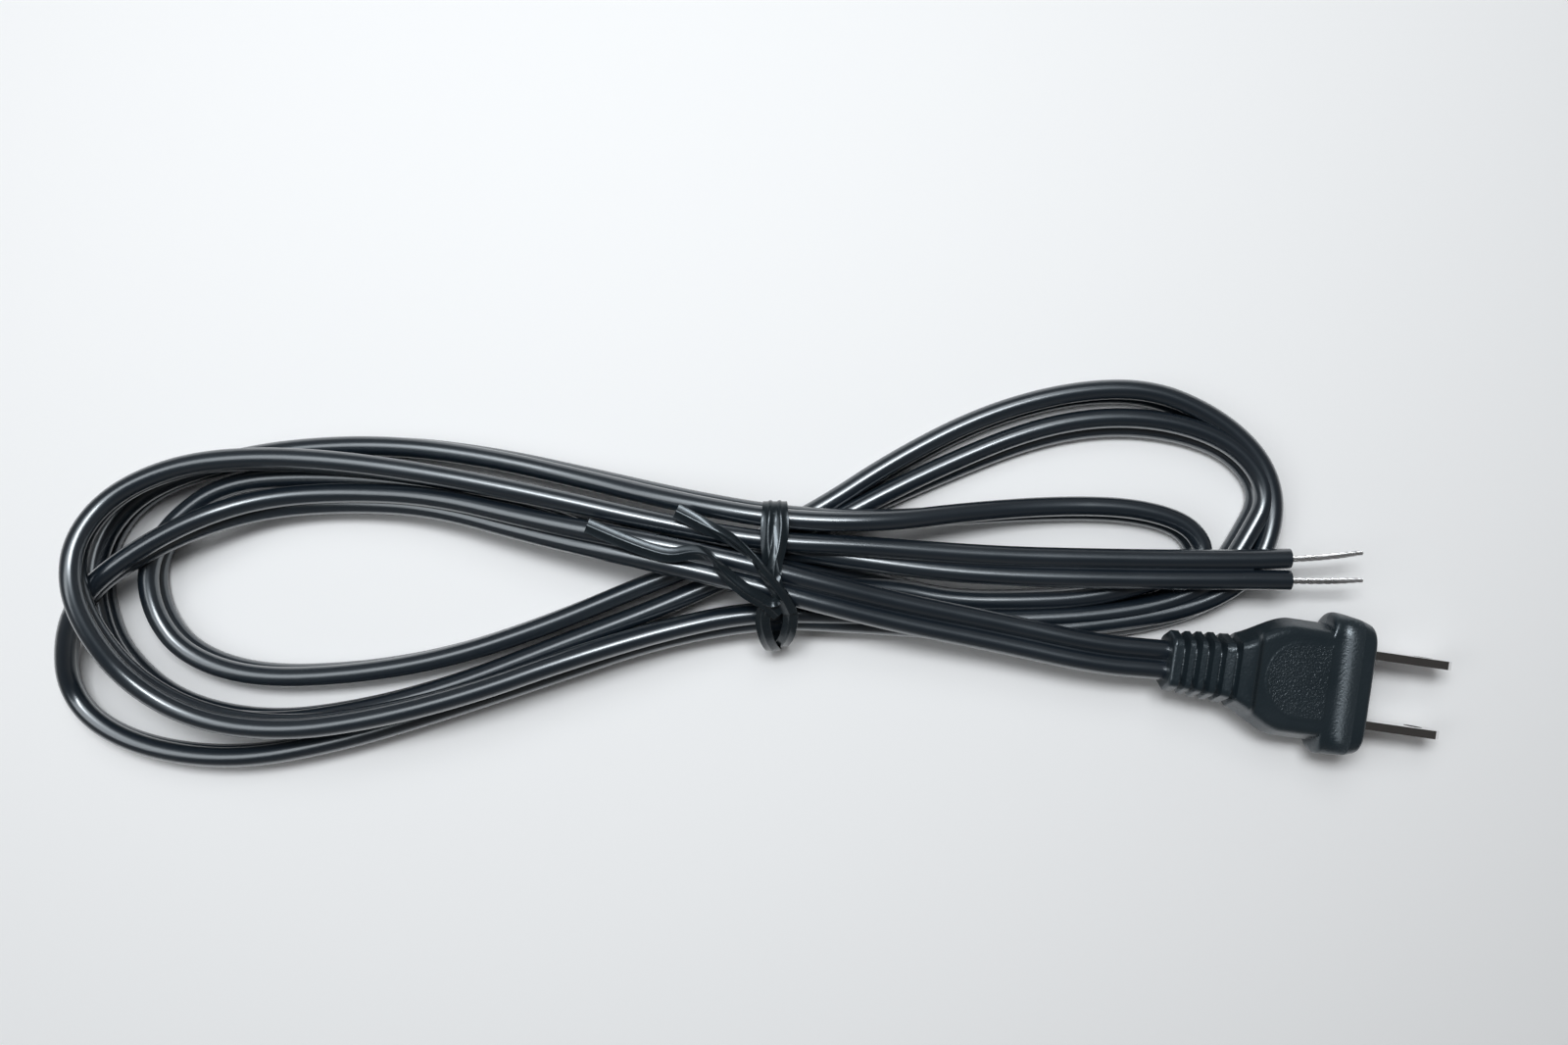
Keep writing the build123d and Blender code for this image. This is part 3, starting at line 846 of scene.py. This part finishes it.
# %% Lay the tie round the hank
ALONG = (1, 0, 0)
tie_rows = [
    [
        ((6.2, -2.6, 16.6), (0.9, 0.4, 0.3)), ((5.2, 1.2, 17.0), (0.9, 0.2, 0.4)),
        ((4.5, 4.8, 16.7), (1, 0, 0.3)),
        ((4.4, 8.0, 16.5), ALONG), ((4.7, 11.6, 16.2), ALONG), ((4.8, 13.4, 14.6), ALONG),
        ((4.8, 13.5, 10.0), ALONG), ((4.6, 12.8, 4.0), ALONG), ((4.4, 11.6, 0.55), ALONG),
        ((4.2, 4.0, 0.5), ALONG), ((4.2, -6.0, 0.5), ALONG), ((4.6, -11.6, 0.55), ALONG),
        ((5.5, -13.5, 2.8), ALONG), ((5.3, -13.5, 7.0), ALONG), ((4.0, -11.0, 11.4), (1, 0.1, 0.2)),
        ((3.2, -7.0, 13.4), (0.9, 0.3, 0.3)), ((4.2, -4.6, 15.2), (0.7, 0.6, 0.4)),
        ((6.0, -3.2, 16.4), (0.5, 0.8, 0.4)),
    ],
    [
        ((5.2, -0.6, 17.2), (0.9, 0.3, 0.3)), ((5.6, 2.6, 17.2), (0.9, 0.1, -0.4)),
        ((6.4, 5.6, 16.7), (1, 0, -0.3)),
        ((6.8, 9.0, 16.4), ALONG), ((6.6, 11.8, 16.1), ALONG), ((6.4, 13.4, 14.4), ALONG),
        ((6.4, 13.5, 10.0), ALONG), ((6.6, 12.8, 4.0), ALONG), ((6.8, 11.6, 0.55), ALONG),
        ((7.2, 4.0, 0.5), ALONG), ((7.2, -6.0, 0.5), ALONG), ((6.8, -11.2, 0.6), ALONG),
        ((6.1, -12.8, 2.8), ALONG), ((6.4, -12.8, 7.0), ALONG), ((7.9, -10.4, 11.6), (1, -0.1, 0.0)),
        ((8.5, -6.6, 13.6), (0.9, 0.1, 0.3)), ((7.8, -4.4, 15.6), (0.8, 0.4, 0.4)),
        ((6.4, -2.4, 16.8), (0.8, 0.5, 0.3)),
    ],
    [
        ((8.3, -6.2, 14.6), (0.9, 0.3, 0.4)), ((7.5, -4.2, 16.2), (0.9, 0.4, 0.5)),
        ((6.0, -2.0, 17.4), (0.8, 0.5, 0.6)), ((3.7, 1.2, 17.7), (0.6, 0.4, 0.9)),
        ((1.5, 4.2, 17.4), (0.4, 0.4, 1.0)), ((-2.0, 7.0, 17.0), (0.5, 0.7, 0.7)),
        ((-5.8, 8.8, 16.8), (0.45, 0.85, 0.25)), ((-8.6, 10.3, 16.6), (0.42, 0.9, 0.0)),
        ((-11.6, 11.8, 16.4), (0.40, 0.92, 0.0)),
    ],
    [
        ((6.4, -6.4, 14.4), (0.8, 0.6, 0.2)), ((4.4, -4.3, 15.6), (0.55, 0.85, 0.2)),
        ((1.6, -2.9, 16.8), (0.5, 0.85, 0.2)), ((-1.4, -0.6, 17.3), (0.6, 0.7, 0.3)),
        ((-3.6, 1.6, 17.5), (0.8, 0.5, 0.6)), ((-4.6, 3.2, 17.9), (0.3, 0.3, 1.0)),
        ((-6.2, 4.4, 17.5), (-0.1, 0.8, 0.6)), ((-8.8, 4.8, 17.0), (0.1, 1, 0.1)),
        ((-12.6, 3.9, 16.7), (0.0, 1, 0.0)), ((-17.4, 5.3, 16.5), (-0.3, 1, 0.0)),
        ((-22.0, 7.1, 16.4), (-0.36, 1, 0.0)), ((-27.2, 9.3, 16.2), (-0.38, 1, 0.0)),
    ],
]
tie_mesh = bmesh.new()
for rows in tie_rows:
    add_ribbon(tie_mesh, rows)
tie = finish_mesh("tie_ribbon", tie_mesh, TIE_FILM, sharp_degrees=60)

# %% [markdown]
# ## Finishes on the solids
# The blades are stamped strip and the insert is a small moulded block. Their solids already have
# the right shape, so remodelling them would add nothing, and they only take a finish.

# %% Paint the solids that stay
painted = {"blade_wide": NICKEL, "blade_narrow": NICKEL, "blade_carrier": INSERT_PLASTIC}
for name, material in painted.items():
    nodes[name].data.materials.clear()
    nodes[name].data.materials.append(material)
print("painted solids:", sorted(painted))

# %% [markdown]
# ## Floor and light
# The cord lies on pale paper under plain soft light. One broad lamp would flatten the vinyl, so a
# small lamp above the camera and a long dim panel beside it draw long highlights along the strands.
# The room is brighter towards its walls than overhead. That keeps the shadows open, and leaves the
# tops of the strands and the upper edges of the blades dark, as a dim ceiling does.

# %% Set the stage
FLOOR_SIZE = 4.0
PAPER = (0.95, 0.95, 0.955, 1.0)
PAPER_ROUGHNESS = 0.85
PAPER_SHEEN = 0.2
floor_mesh = bmesh.new()
bmesh.ops.create_grid(floor_mesh, x_segments=1, y_segments=1, size=FLOOR_SIZE / 2)
floor_material = bpy.data.materials.new("floor_paper")
floor_material.use_nodes = True
floor_shader = floor_material.node_tree.nodes["Principled BSDF"]
floor_shader.inputs["Base Color"].default_value = PAPER
floor_shader.inputs["Roughness"].default_value = PAPER_ROUGHNESS
floor_shader.inputs["Specular IOR Level"].default_value = PAPER_SHEEN
floor = finish_mesh("floor", floor_mesh, floor_material)

# %% Hang the lamps
COOL = (0.95, 0.98, 1.0)


def add_lamp(name, place, target, size, power, colour):
    """One oblong soft lamp that faces a target and that the camera doesn't see."""
    data = bpy.data.lights.new(name, "AREA")
    data.shape = "RECTANGLE"
    data.size, data.size_y = size
    data.energy = power
    data.color = colour
    lamp = bpy.data.objects.new(name, data)
    lamp.location = place
    lamp.rotation_euler = (Vector(target) - Vector(place)).to_track_quat("-Z", "Y").to_euler()
    lamp.visible_camera = False
    bpy.context.scene.collection.objects.link(lamp)
    print(name, "lamp of", power, "W")


add_lamp("key", place=(-0.006, 0.14, 0.45), target=(0, 0, 0), size=(0.22, 0.10), power=1.28, colour=COOL)
add_lamp("panel", place=(-0.20, 0.15, 0.50), target=(-0.05, 0, 0), size=(0.90, 0.22), power=1.60, colour=COOL)

# %% Light the room
WARM = (1.0, 0.97, 0.94)
SKY_HORIZON = 0.2
SKY_ZENITH = 0.02
world = bpy.data.worlds.new("room")
bpy.context.scene.world = world
world.use_nodes = True
sky_nodes = world.node_tree.nodes
sky_links = world.node_tree.links
sky = sky_nodes["Background"]
sky.inputs["Color"].default_value = (*WARM, 1.0)
ray = sky_nodes.new("ShaderNodeTexCoord")
parts = sky_nodes.new("ShaderNodeSeparateXYZ")
fade = sky_nodes.new("ShaderNodeMapRange")
fade.inputs["To Min"].default_value = SKY_HORIZON
fade.inputs["To Max"].default_value = SKY_ZENITH
sky_links.new(ray.outputs["Generated"], parts.inputs["Vector"])
sky_links.new(parts.outputs["Z"], fade.inputs["Value"])
sky_links.new(fade.outputs["Result"], sky.inputs["Strength"])
bpy.context.scene.view_settings.view_transform = "Standard"
print("room light from", SKY_HORIZON, "at the walls to", SKY_ZENITH, "overhead")

# %% [markdown]
# ## Tying the pieces to the frame
# Each piece is hung on the root body, and the solid that it stands for is hidden.

replaced = {
    "cord": (cord, "cord_insulation"),
    "conductor_1": (wires["conductor_1"], "tinned_wire"),
    "conductor_2": (wires["conductor_2"], "tinned_wire"),
    "plug_body": (plug, "plug_moulding"),
    "twist_tie": (tie, "tie_film"),
}
for node, (piece, slot) in replaced.items():
    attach(piece, "root")
    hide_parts(node)
print("pieces that stand for solids:", sorted(replaced))
